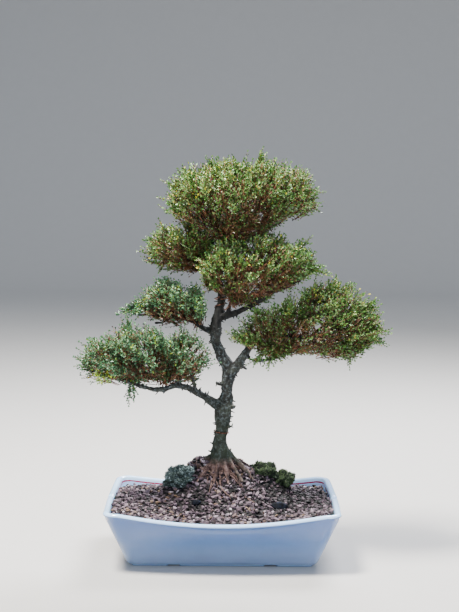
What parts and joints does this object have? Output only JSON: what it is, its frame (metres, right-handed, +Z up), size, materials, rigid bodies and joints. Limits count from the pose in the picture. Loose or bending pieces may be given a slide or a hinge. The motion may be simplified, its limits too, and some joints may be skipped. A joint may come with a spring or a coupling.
{
  "type": "bonsai tree in a pot",
  "caption": "Small-leaved bonsai tree with dense leafy heads, standing in gravel in a flared white porcelain pot.",
  "frame": {"origin": "centre of the pot's flat underside", "axes": "+Z up, X along the pot's long sides, -Y is the front that the picture shows"},
  "size_m": [0.3234, 0.194, 0.4319],
  "materials": {
    "porcelain": "gloss",
    "screen_plastic": "matte",
    "gravel": "matte",
    "bark": "matte",
    "moss": "matte",
    "dark_stone": "satin",
    "copper_wire": "satin",
    "foliage": "matte"
  },
  "bodies": {
    "root": {"pot": "porcelain", "drainage_screen_left": "screen_plastic", "drainage_screen_right": "screen_plastic", "soil": "gravel", "trunk_and_branches": "bark", "moss_left": "moss", "moss_right": "moss", "moss_far_right": "moss", "stone_right": "dark_stone", "stone_left": "dark_stone", "tie_wire_lower": "copper_wire", "training_wire_upper": "copper_wire", "foliage_top": "foliage", "foliage_center_right": "foliage", "foliage_upper_left": "foliage", "foliage_mid_left": "foliage", "foliage_right": "foliage", "foliage_lower_left": "foliage"}
  },
  "joints": []
}
